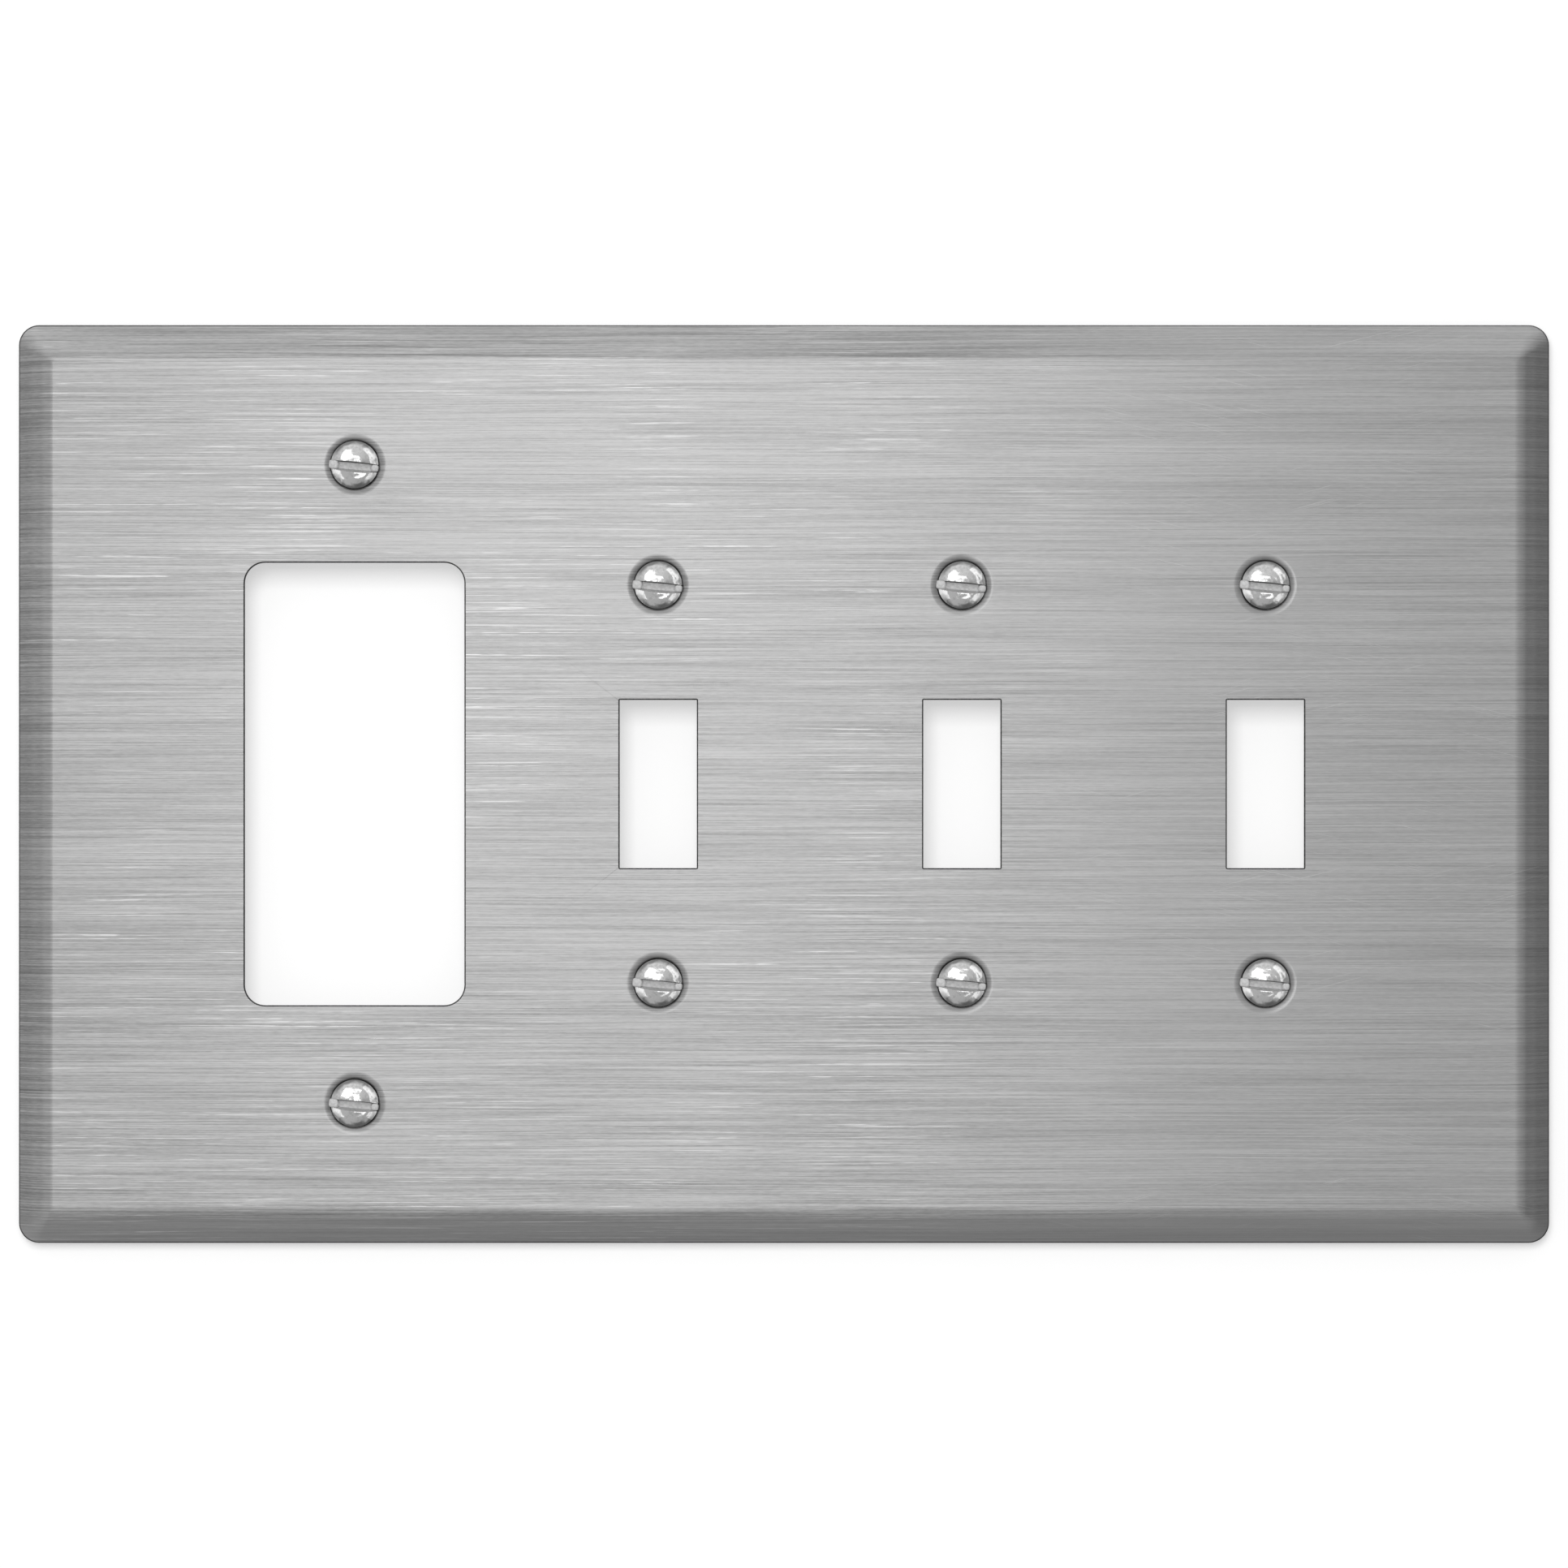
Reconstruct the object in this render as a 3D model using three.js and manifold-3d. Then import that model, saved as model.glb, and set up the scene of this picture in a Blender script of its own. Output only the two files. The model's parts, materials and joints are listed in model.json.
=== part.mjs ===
// Four-gang combination wall plate: one rocker opening, three toggle openings and the eight
// oval-head screws that hold it to the switch yokes behind it.
//
// Millimetres. Each piece is built in a face frame, with x to the right, y up and z out of the
// wall towards the room. The last lines stand that frame up: the wall is the plane y = 0 of the
// part, the room is on its -y side and +z is up. The origin is the middle of the plate's outline,
// on the wall.
import * as THREE from "three";
import { mergeVertices } from "three/addons/utils/BufferGeometryUtils.js";
import Module from "manifold-3d";

const INCH = 25.4;

// The plate is one drawn sheet.
const PLATE_WIDTH = 232.9;
const PLATE_HEIGHT = 5.5 * INCH;
const PLATE_DEPTH = 5.6;
const SHEET = 0.8;

// The rim's cross-section, from the wall to the flat face: how far each bend stands in from the
// outline, how high it stands off the wall, and the corner radius of the plate at that bend.
const RIM_BENDS = [
  { inset: 0, height: 0, corner: 3.1 },
  { inset: 0, height: 0.9, corner: 3.1 },
  { inset: 1.7, height: 3.5, corner: 2.4 },
  { inset: 4.2, height: 5.45, corner: 1.4 },
  { inset: 4.7, height: PLATE_DEPTH, corner: 1.2 },
];
const CORNER_SEGMENTS = 8;

// Wiring devices stand one gang apart, and a device's two plate screws have a fixed spacing.
const GANG_PITCH = 1.8125 * INCH;
const GANGS_OFF_CENTRE = 3.95;
const ROCKER_SCREW_SPACING = 3.8125 * INCH;
const TOGGLE_SCREW_SPACING = 2.375 * INCH;
const ROCKER_OPENING = { width: 33.3, height: 67.1, corner: 3.1 };
const TOGGLE_OPENING = { width: 11.7, height: 25.5, corner: 0.25 };

// Number 6 oval-head machine screws, 32 threads to the inch, half an inch under the head's edge.
const SCREW = {
  length: 0.5 * INCH,
  shankRadius: 1.75,
  tipRadius: 1.2,
  tipTaper: 0.7,
  headRadius: 3.65,
  headEdge: 0.12,
  domeHeight: 1.15,
  slotWidth: 1.15,
  slotDepth: 1.5,
  slotTilt: -5.5,
};
const SCREW_SEGMENTS = 36;
const DOME_SEGMENTS = 6;

// The screw holes are dimpled: pressed in to a cone that the screw's head sinks into.
const COUNTERSINK_HALF_ANGLE = THREE.MathUtils.degToRad(41);
const COUNTERSINK_SLOPE = Math.tan(COUNTERSINK_HALF_ANGLE);
const HEAD_CLEARANCE = 0.12;
const HOLE_RADIUS = 1.95;
const DIMPLE_DEPTH = 2.6;
const PAST = 2; // how far a cutting tool runs past what it cuts

const steel = new THREE.MeshStandardMaterial({ color: 0xb9b9b9, roughness: 0.38, metalness: 1 });
const nickel = new THREE.MeshStandardMaterial({ color: 0xd6d6d6, roughness: 0.2, metalness: 1 });

const wasm = await Module();
wasm.setup();

// A closed three.js geometry as a manifold-3d solid.
function solidOf(geometry) {
  const bare = geometry.clone();
  bare.deleteAttribute("normal");
  bare.deleteAttribute("uv");
  const merged = mergeVertices(bare, 1e-4);
  return new wasm.Manifold(
    new wasm.Mesh({
      numProp: 3,
      vertProperties: merged.attributes.position.array,
      triVerts: new Uint32Array(merged.index.array),
    }),
  );
}

// A manifold-3d solid as a three.js geometry.
function geometryOf(solid) {
  const mesh = solid.getMesh();
  const geometry = new THREE.BufferGeometry();
  geometry.setAttribute("position", new THREE.BufferAttribute(mesh.vertProperties, 3));
  geometry.setIndex(new THREE.BufferAttribute(mesh.triVerts, 1));
  geometry.computeVertexNormals();
  return geometry;
}

// The points of a rectangle with round corners, anticlockwise, centred on the origin.
function roundedRectangle(width, height, radius) {
  const corners = [[1, 1], [-1, 1], [-1, -1], [1, -1]];
  return corners.flatMap(([right, up], quarter) => {
    const start = (quarter * Math.PI) / 2;
    const arc = new THREE.EllipseCurve(
      right * (width / 2 - radius), up * (height / 2 - radius),
      radius, radius, start, start + Math.PI / 2,
    );
    return arc.getPoints(CORNER_SEGMENTS);
  });
}

// A closed solid through a stack of outlines with the same number of points, from the lowest up.
function loft(outlines) {
  const count = outlines[0].points.length;
  const positions = outlines.flatMap(({ points, height }) => points.flatMap((p) => [p.x, p.y, height]));
  const index = [];
  for (let level = 0; level + 1 < outlines.length; level++) {
    for (let i = 0; i < count; i++) {
      const a = level * count + i;
      const b = level * count + ((i + 1) % count);
      index.push(a, b, b + count, a, b + count, a + count);
    }
  }
  const top = (outlines.length - 1) * count;
  for (const [a, b, c] of THREE.ShapeUtils.triangulateShape(outlines[0].points, [])) {
    index.push(c, b, a);
  }
  for (const [a, b, c] of THREE.ShapeUtils.triangulateShape(outlines.at(-1).points, [])) {
    index.push(top + a, top + b, top + c);
  }
  const geometry = new THREE.BufferGeometry();
  geometry.setAttribute("position", new THREE.Float32BufferAttribute(positions, 3));
  geometry.setIndex(index);
  return geometry;
}

// The inside of the rim: each bend moved in square to the sheet, by the sheet's thickness.
function insideBends(bends) {
  const squareTo = (from, to) => {
    const along = new THREE.Vector2(to.inset - from.inset, to.height - from.height).normalize();
    return new THREE.Vector2(along.y, -along.x);
  };
  return bends.map((bend, i) => {
    const before = i > 0 ? squareTo(bends[i - 1], bend) : new THREE.Vector2(1, 0);
    const after = i + 1 < bends.length ? squareTo(bend, bends[i + 1]) : new THREE.Vector2(0, -1);
    const move = before.clone().add(after).multiplyScalar(SHEET / (1 + before.dot(after)));
    const inset = bend.inset + move.x;
    return {
      inset,
      height: bend.height + move.y,
      corner: Math.max(bend.corner - move.x, 0.3),
    };
  });
}

function rimOutlines(bends) {
  return bends.map(({ inset, height, corner }) => ({
    points: roundedRectangle(PLATE_WIDTH - 2 * inset, PLATE_HEIGHT - 2 * inset, corner),
    height,
  }));
}

// A straight punch the shape of an opening, through the whole plate.
function openingPunch({ width, height, corner }, x) {
  const shape = new THREE.Shape(roundedRectangle(width, height, corner));
  const punch = new THREE.ExtrudeGeometry(shape, { depth: PLATE_DEPTH + 2 * PAST, bevelEnabled: false });
  return punch.translate(x, 0, -PAST);
}

// A solid turned about z, from its [radius, height] profile, which starts and ends on the axis.
function turned(profile, segments) {
  const points = profile.map(([radius, height]) => new THREE.Vector2(radius, height));
  return new THREE.LatheGeometry(points, segments).rotateX(Math.PI / 2);
}

// The cone that a screw head of this radius fills, widened by a clearance and cut through the sheet.
function countersink() {
  const mouth = SCREW.headRadius + HEAD_CLEARANCE;
  const coneDepth = (mouth - HOLE_RADIUS) / COUNTERSINK_SLOPE;
  return turned([
    [0, -DIMPLE_DEPTH - PAST],
    [HOLE_RADIUS, -DIMPLE_DEPTH - PAST],
    [HOLE_RADIUS, -coneDepth],
    [mouth, 0],
    [mouth, PAST],
    [0, PAST],
  ], SCREW_SEGMENTS);
}

// The back of a dimple, before its countersink is cut.
function dimple() {
  const wall = SHEET / Math.cos(COUNTERSINK_HALF_ANGLE);
  const radiusAt = (depth) => SCREW.headRadius + HEAD_CLEARANCE + wall - depth * COUNTERSINK_SLOPE;
  return turned([
    [0, -DIMPLE_DEPTH],
    [radiusAt(DIMPLE_DEPTH), -DIMPLE_DEPTH],
    [radiusAt(SHEET / 2), -SHEET / 2],
    [0, -SHEET / 2],
  ], SCREW_SEGMENTS);
}

function makePlate(screws) {
  let plate = solidOf(loft(rimOutlines(RIM_BENDS)));
  const inside = rimOutlines(insideBends(RIM_BENDS));
  const belowWall = { points: inside[0].points, height: -PAST };
  plate = plate.subtract(solidOf(loft([belowWall, ...inside])));
  for (const { x, y } of screws) {
    plate = plate.add(solidOf(dimple().translate(x, y, PLATE_DEPTH)));
  }
  for (const { x, y } of screws) {
    plate = plate.subtract(solidOf(countersink().translate(x, y, PLATE_DEPTH)));
  }
  for (const { opening, x } of gangs) {
    plate = plate.subtract(solidOf(openingPunch(opening, x)));
  }
  const mesh = new THREE.Mesh(geometryOf(plate), steel);
  mesh.name = "wall_plate";
  return mesh;
}

// One screw with its head's edge at the origin, pointing into the wall.
function screwGeometry() {
  const { headRadius, headEdge, shankRadius, length, tipRadius, tipTaper, domeHeight } = SCREW;
  const coneDepth = (headRadius - shankRadius) / COUNTERSINK_SLOPE;
  const sphereRadius = (headRadius ** 2 + domeHeight ** 2) / (2 * domeHeight);
  const rimAngle = Math.asin(headRadius / sphereRadius);
  const dome = [];
  for (let i = 0; i <= DOME_SEGMENTS; i++) {
    const angle = rimAngle * (1 - i / DOME_SEGMENTS);
    const height = headEdge + domeHeight - sphereRadius * (1 - Math.cos(angle));
    dome.push([i === DOME_SEGMENTS ? 0 : sphereRadius * Math.sin(angle), height]);
  }
  const blank = turned([
    [0, -length],
    [tipRadius, -length],
    [shankRadius, -length + tipTaper],
    [shankRadius, -coneDepth],
    [headRadius, 0],
    ...dome,
  ], SCREW_SEGMENTS);
  const slot = new THREE.BoxGeometry(2 * headRadius + PAST, SCREW.slotWidth, SCREW.slotDepth + PAST);
  slot.translate(0, 0, headEdge + domeHeight + PAST / 2 - SCREW.slotDepth / 2);
  slot.rotateZ(THREE.MathUtils.degToRad(SCREW.slotTilt));
  return geometryOf(solidOf(blank).subtract(solidOf(slot)));
}

function makeScrew({ name, x, y }) {
  const mesh = new THREE.Mesh(screwGeometry(), nickel);
  mesh.name = name;
  mesh.position.set(x, y, PLATE_DEPTH);
  return mesh;
}

// The four gangs from left to right, each with its opening in the middle of its two screws.
const gangs = ["rocker", "toggle_1", "toggle_2", "toggle_3"].map((name, i) => ({
  name,
  x: GANGS_OFF_CENTRE + (i - 1.5) * GANG_PITCH,
  opening: name === "rocker" ? ROCKER_OPENING : TOGGLE_OPENING,
  screwSpacing: name === "rocker" ? ROCKER_SCREW_SPACING : TOGGLE_SCREW_SPACING,
}));
const screws = gangs.flatMap(({ name, x, screwSpacing }) => [
  { name: `${name}_screw_top`, x, y: screwSpacing / 2 },
  { name: `${name}_screw_bottom`, x, y: -screwSpacing / 2 },
]);

const face = new THREE.Group();
face.rotation.x = Math.PI / 2;
face.add(makePlate(screws), ...screws.map(makeScrew));

const part = new THREE.Group();
part.add(face);
export default part;
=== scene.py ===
# %% [markdown]
# # A brushed steel wall plate with its screws
#
# The object is the cover of a row of light switches: one thin steel sheet, pressed so that its face
# stands proud of the wall, with a large opening for a rocker switch, three small ones for toggle
# levers, and eight screws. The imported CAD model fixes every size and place, so the script loads
# it first and never moves it. Everything here is in metres, with the wall at y = 0, the room on
# the -y side and z upwards.

# %% Load the fixed frame
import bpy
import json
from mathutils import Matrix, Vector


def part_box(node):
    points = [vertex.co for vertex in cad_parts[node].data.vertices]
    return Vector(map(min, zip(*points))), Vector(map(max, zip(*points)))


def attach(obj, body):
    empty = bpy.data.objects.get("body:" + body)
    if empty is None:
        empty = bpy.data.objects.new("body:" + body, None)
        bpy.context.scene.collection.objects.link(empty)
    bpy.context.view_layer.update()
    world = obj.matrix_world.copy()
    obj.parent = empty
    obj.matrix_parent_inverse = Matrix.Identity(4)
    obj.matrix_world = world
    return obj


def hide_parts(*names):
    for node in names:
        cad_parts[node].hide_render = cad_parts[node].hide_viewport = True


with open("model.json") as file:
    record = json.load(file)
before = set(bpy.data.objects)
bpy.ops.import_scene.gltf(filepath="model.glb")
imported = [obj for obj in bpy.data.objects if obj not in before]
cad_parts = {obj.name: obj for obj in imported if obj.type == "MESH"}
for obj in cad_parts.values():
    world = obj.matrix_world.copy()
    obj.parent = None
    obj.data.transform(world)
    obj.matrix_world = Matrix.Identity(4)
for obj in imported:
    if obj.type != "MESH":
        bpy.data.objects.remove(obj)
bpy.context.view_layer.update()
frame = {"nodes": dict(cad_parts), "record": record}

# %% Libraries and units
import json
import math

import bmesh
import bpy
from mathutils import Matrix, Vector

MM = 0.001
SLACK = 0.01 * MM  # how far off a line or a plane a point may be and still count as on it
WELD = 0.001 * MM  # points closer than this are one point

# %% [markdown]
# Places come from the frame. The box of the plate gives the outline and the level of its face. The
# middle of each screw's box is a point on that screw's axis. The openings are listed in the record,
# so their middles are read there, and only their sizes are repeated here.

# %% Read the places from the frame
plate_low, plate_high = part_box("wall_plate")
PLATE_WIDTH = plate_high.x - plate_low.x
PLATE_HEIGHT = plate_high.z - plate_low.z
FACE_Y = plate_low.y
SHEET = 0.8 * MM


def middle(low, high):
    return (Vector(low) + Vector(high)) / 2


screw_seats = {}
for name in sorted(frame["nodes"]):
    if "screw" in name:
        centre = middle(*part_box(name))
        screw_seats[name] = Vector((centre.x, FACE_Y, centre.z))

OPENING_SIZES = {  # width, height and corner radius
    "rocker": (33.3 * MM, 67.1 * MM, 3.1 * MM),
    "toggle": (11.7 * MM, 25.5 * MM, 0.08 * MM),
}
openings = []
for opening in frame["record"]["physics"]["openings"]:
    kind = opening["name"].split("_")[0]
    if kind in OPENING_SIZES:
        centre = middle(*opening["box_m"])
        openings.append((Vector((centre.x, FACE_Y, centre.z)), OPENING_SIZES[kind]))
print("screws:", len(screw_seats), "openings:", len(openings), "face at", round(FACE_Y / MM, 2), "mm")

# %% [markdown]
# ## The plate
#
# A press folds the flat sheet over a die. The rim comes out as two slopes, a steep one from the wall
# and a gentler one up to the face, with soft bends between them. One way to model it is to bevel a
# box, but then both slopes share one corner radius. Here each level of the rim is its own outline
# with its own corner radius. The outline at the wall is extruded again and again, and after each
# step the four corner arcs are shrunk about their own centres, as a sculptor would pinch them.
#
# The first outline starts as a single square face. A vertex bevel rounds its corners, and then the
# face is dropped so that only its edges are left.

# %% A rounded outline
CORNER_STEPS = 12


def rounded_outline(bm, centre, width, height, corner, steps=CORNER_STEPS):
    """Adds a loop of edges that faces the room: a rectangle with round corners."""
    place = Matrix.Translation(centre) @ Matrix.Rotation(math.radians(90), 4, "X")
    known = set(bm.faces)
    quad = bmesh.ops.create_grid(
        bm, x_segments=1, y_segments=1, size=0.5,
        matrix=place @ Matrix.Diagonal((width, height, 1, 1)),
    )
    bmesh.ops.bevel(
        bm, geom=quad["verts"], affect="VERTICES", offset=corner, offset_type="OFFSET",
        segments=steps, profile=0.5, material=-1, clamp_overlap=False,
    )
    face = next(f for f in bm.faces if f not in known)
    edges = list(face.edges)
    bmesh.ops.delete(bm, geom=[face], context="FACES_ONLY")
    return edges


# %% [markdown]
# The rim's section is a short list of bends, each as its distance in from the outline and its height
# off the wall. A bend in sheet metal is never sharp, so each one is replaced by a small curve: a
# quadratic curve whose middle control point is the sharp bend itself.

# %% The section of the rim
RIM_BENDS = [  # inset, height, and how far the soft bend reaches each way
    (0.00 * MM, 0.00 * MM, 0.00 * MM),
    (0.00 * MM, 0.75 * MM, 0.45 * MM),
    (2.00 * MM, 3.55 * MM, 0.80 * MM),
    (4.55 * MM, 5.60 * MM, 1.00 * MM),
    (5.60 * MM, 5.60 * MM, 0.00 * MM),
]
OUTER_CORNER = 3.1 * MM
INNER_CORNER = 0.6 * MM
BEND_STEPS = 8


def soften(bends, steps):
    """The section as points, with each inner bend drawn as a curve."""
    points = [Vector(bends[0][:2])]
    for before, here, after in zip(bends, bends[1:], bends[2:]):
        bend = Vector(here[:2])
        start = bend + (Vector(before[:2]) - bend).normalized() * here[2]
        end = bend + (Vector(after[:2]) - bend).normalized() * here[2]
        for step in range(steps + 1):
            t = step / steps
            points.append(start.lerp(bend, t).lerp(bend.lerp(end, t), t))
    points.append(Vector(bends[-1][:2]))
    return points


def rim_corner(inset):
    """The corner radius of the plate at this distance in from its outline."""
    share = min(inset / RIM_BENDS[-2][0], 1)
    return OUTER_CORNER + (INNER_CORNER - OUTER_CORNER) * share


def arc_centre(right, up, inset, height):
    """The centre of one corner's arc at this level of the rim."""
    back = inset + rim_corner(inset)
    return Vector((right * (PLATE_WIDTH / 2 - back), -height, up * (PLATE_HEIGHT / 2 - back)))


def raise_rim(bm, ring, old, new):
    """Extrudes one outline and moves its four corner arcs to the next level of the section."""
    made = bmesh.ops.extrude_edge_only(bm, edges=ring)["geom"]
    verts = [g for g in made if isinstance(g, bmesh.types.BMVert)]
    shrink = rim_corner(new[0]) / rim_corner(old[0])
    for right in (-1, 1):
        for up in (-1, 1):
            arc = [v for v in verts if v.co.x * right > 0 and v.co.z * up > 0]
            start, end = arc_centre(right, up, *old), arc_centre(right, up, *new)
            bmesh.ops.scale(bm, vec=(shrink, 1, shrink), space=Matrix.Translation(-start), verts=arc)
            bmesh.ops.translate(bm, vec=end - start, verts=arc)
    return [g for g in made if isinstance(g, bmesh.types.BMEdge) and all(v in verts for v in g.verts)]


plate = bmesh.new()
section = soften(RIM_BENDS, BEND_STEPS)
ring = rounded_outline(plate, Vector((0, 0, 0)), PLATE_WIDTH, PLATE_HEIGHT, OUTER_CORNER)
for old, new in zip(section, section[1:]):
    ring = raise_rim(plate, ring, old, new)
print("levels of the rim:", len(section), "faces:", len(plate.faces))

# %% [markdown]
# A plate screw has a head like a shallow cone, so a press sinks a matching cone round each hole. The
# metal rolls into it, which is why a soft shaded ring shows round each screw head. A round feature
# like this is quickest to make by spinning its section about the screw's axis. Its outer edge lies
# flat on the face, ready to be joined to it.

# %% The dimples round the screw holes
HOLE_RADIUS = 1.95 * MM
CONE_MOUTH = 3.77 * MM
CONE_SLOPE = math.tan(math.radians(41))
ROLL_REACH = 1.05 * MM
CONE_BEND = 0.25 * MM
HOLE_WALL = 0.30 * MM  # the straight part of the hole under its cone
DIMPLE_STEPS = 64


def dimple(bm, seat):
    """Spins the section of one dimple and returns the edges of its outer rim."""
    cone_depth = (CONE_MOUTH - HOLE_RADIUS) / CONE_SLOPE
    section = soften([
        (CONE_MOUTH + ROLL_REACH, 0, 0),
        (CONE_MOUTH, 0, ROLL_REACH),
        (HOLE_RADIUS, cone_depth, CONE_BEND),
        (HOLE_RADIUS, cone_depth + HOLE_WALL, 0),
    ], BEND_STEPS)
    section.pop(0)
    verts = [bm.verts.new(seat + Vector((radius, depth, 0))) for radius, depth in section]
    edges = [bm.edges.new(pair) for pair in zip(verts, verts[1:])]
    bmesh.ops.spin(
        bm, geom=verts + edges, cent=seat, axis=(0, 1, 0), dvec=(0, 0, 0),
        angle=2 * math.pi, steps=DIMPLE_STEPS, use_merge=True, use_duplicate=False,
    )
    reach = CONE_MOUTH + ROLL_REACH
    return [
        e for e in bm.edges
        if e.is_boundary and all(abs((v.co - seat).length - reach) < SLACK for v in e.verts)
    ]


holes = [dimple(plate, seat) for seat in screw_seats.values()]
print("dimples:", len(holes), "edges round each:", {len(hole) for hole in holes})

# %% [markdown]
# Now the rim, the dimples and the openings are all loops of edges on one plane. Joining them by hand
# takes hundreds of faces. The triangle fill operator does it in one step and leaves the openings
# open, because it fills only the space between an outer loop and the loops inside it.

# %% The flat face between the rim, the dimples and the openings
for centre, (width, height, corner) in openings:
    holes.append(rounded_outline(plate, centre, width, height, corner))
face_edges = ring + [edge for hole in holes for edge in hole]
bmesh.ops.triangle_fill(
    plate, edges=face_edges, use_beauty=True, use_dissolve=False, normal=(0, -1, 0),
)
bmesh.ops.remove_doubles(plate, verts=plate.verts, dist=WELD)
bmesh.ops.recalc_face_normals(plate, faces=plate.faces)
flat = max(plate.faces, key=lambda f: f.calc_area())
if flat.normal.y > 0:
    bmesh.ops.reverse_faces(plate, faces=plate.faces)
print("skin faces:", len(plate.faces), "open edges:", sum(e.is_boundary for e in plate.edges))

# %% [markdown]
# So far the plate is a skin with no thickness. Giving it a wall by hand would mean copying it and
# joining every open edge, which is just what the solidify operator does. The new inner skin and the
# walls between the two skins are sorted by how they were made, because they get finishes of their
# own: the back of the sheet is never brushed, and the punch leaves every cut edge rough, with a
# near-black colour that is partly the torn metal and partly painted shade.

# %% Give the sheet its thickness
BRUSHED, MILL, CUT_AND_SHADE = 0, 1, 2  # the plate's three material slots
outer_skin = set(plate.faces)
bmesh.ops.solidify(plate, geom=list(plate.faces), thickness=SHEET)
for face in plate.faces:
    face.material_index = BRUSHED if face in outer_skin else MILL
    if face not in outer_skin and any(f in outer_skin for e in face.edges for f in e.link_faces):
        face.material_index = CUT_AND_SHADE
print("with both skins:", len(plate.faces), "open edges:", sum(e.is_boundary for e in plate.edges))

# %% [markdown]
# A punch rolls the steel over a little as it goes in, so no cut edge is truly sharp. A bevel with a
# few segments rounds each edge between a cut wall and a skin, and it keeps the dull finish of the cut.
# Tiny as it is, it draws the fine dark line round every opening, partly as painted shade. The lowest
# part of the skin, next to the wall, gets the same near-black finish as painted shade, which draws the
# line round the plate.

# %% Round the cut edges
EDGE_ROUND = 0.20 * MM
EDGE_STEPS = 3
SHADED_FOOT = 1.05 * MM  # how high off the wall the painted shade on the foot of the rim reaches
cut_edges = [
    e for e in plate.edges
    if len({f.material_index for f in e.link_faces}) == 2 and CUT_AND_SHADE in {f.material_index for f in e.link_faces}
]
rounded = bmesh.ops.bevel(
    plate, geom=cut_edges, affect="EDGES", offset=EDGE_ROUND, offset_type="OFFSET",
    segments=EDGE_STEPS, profile=0.5, material=-1, clamp_overlap=False,
)
for face in rounded["faces"]:
    face.material_index = CUT_AND_SHADE
# Painted shade: the foot of the rim next to the wall gets the near-black finish.
for face in outer_skin:
    if face.is_valid and face.calc_center_median().y > -SHADED_FOOT:
        face.material_index = CUT_AND_SHADE
print("cut edges:", len(cut_edges), "faces that round them:", len(rounded["faces"]))

# %% [markdown]
# Every finished piece goes through the same last steps. Smooth shading makes the soft bends look
# round, and edges sharper than a limit stay crisp. The weighted normal modifier then lets the large
# faces decide the normals they share with small ones, so that the flat face reflects like a flat
# sheet right up to its bends.

# %% Turn a bmesh into a piece of the object
SHARP_ANGLE = math.radians(38)


def make_piece(bm, name, body, node, materials):
    mesh = bpy.data.meshes.new(name)
    bm.to_mesh(mesh)
    for material in materials:
        mesh.materials.append(material)
    mesh.shade_smooth()
    mesh.set_sharp_from_angle(angle=SHARP_ANGLE)
    piece = bpy.data.objects.new(name, mesh)
    bpy.context.scene.collection.objects.link(piece)
    weigh = piece.modifiers.new("face weighted normals", "WEIGHTED_NORMAL")
    weigh.keep_sharp = True
    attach(piece, body)
    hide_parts(node)
    return piece


# %% [markdown]
# ## Finishes
#
# Brushed steel is covered in long, fine scratches that all run one way. A noise texture becomes such
# a scratch pattern when its coordinates are squeezed hard in one direction and hardly at all in the
# others. One layer looks like stripes, so the steel is built from several: hair-fine, middling and
# broad streaks, and a few bright ones. They all come from one node group with named inputs.

# %% Helpers for building node trees
def add(tree, kind, sockets=None, **settings):
    """Adds a node, sets its options, and fills its sockets with values or links."""
    node = tree.nodes.new(kind)
    for name, value in settings.items():
        setattr(node, name, value)
    for socket, value in (sockets or {}).items():
        if isinstance(value, bpy.types.NodeSocket):
            tree.links.new(value, node.inputs[socket])
        else:
            node.inputs[socket].default_value = value
    return node


def calculate(tree, operation, *values):
    """A Math node, as its output socket."""
    return add(tree, "ShaderNodeMath", dict(enumerate(values)), operation=operation).outputs[0]


NOISE_RANGE = (0.3, 0.7)  # a noise texture seldom leaves this


def remap(tree, value, low, high, to_low=0.0, to_high=1.0):
    """A Map Range node, as its output socket."""
    sockets = {"Value": value, "From Min": low, "From Max": high, "To Min": to_low, "To Max": to_high}
    return add(tree, "ShaderNodeMapRange", sockets, interpolation_type="SMOOTHSTEP").outputs["Result"]


def new_group(name, inputs, outputs):
    """A node group with a Place to read, named inputs and outputs, and its two end nodes."""
    group = bpy.data.node_groups.new(name, "ShaderNodeTree")
    group.interface.new_socket("Place", in_out="INPUT", socket_type="NodeSocketVector")
    for socket, default in inputs.items():
        given = group.interface.new_socket(socket, in_out="INPUT", socket_type="NodeSocketFloat")
        given.default_value = default
    for socket in outputs:
        group.interface.new_socket(socket, in_out="OUTPUT", socket_type="NodeSocketFloat")
    return group, group.nodes.new("NodeGroupInput"), group.nodes.new("NodeGroupOutput")


def use_group(tree, group, place, **values):
    """Puts a node group in a material, gives it a place and values, and returns its output socket."""
    return add(tree, "ShaderNodeGroup", {"Place": place, **values}, node_tree=group).outputs[0]


def object_place(tree):
    return add(tree, "ShaderNodeTexCoord").outputs["Object"]


# %% The streaks that brushing leaves
DRIFT_LENGTH = 45 * MM  # a streak wanders up and down slowly, over patches this long and this high
DRIFT_HEIGHT = 14 * MM


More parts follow.
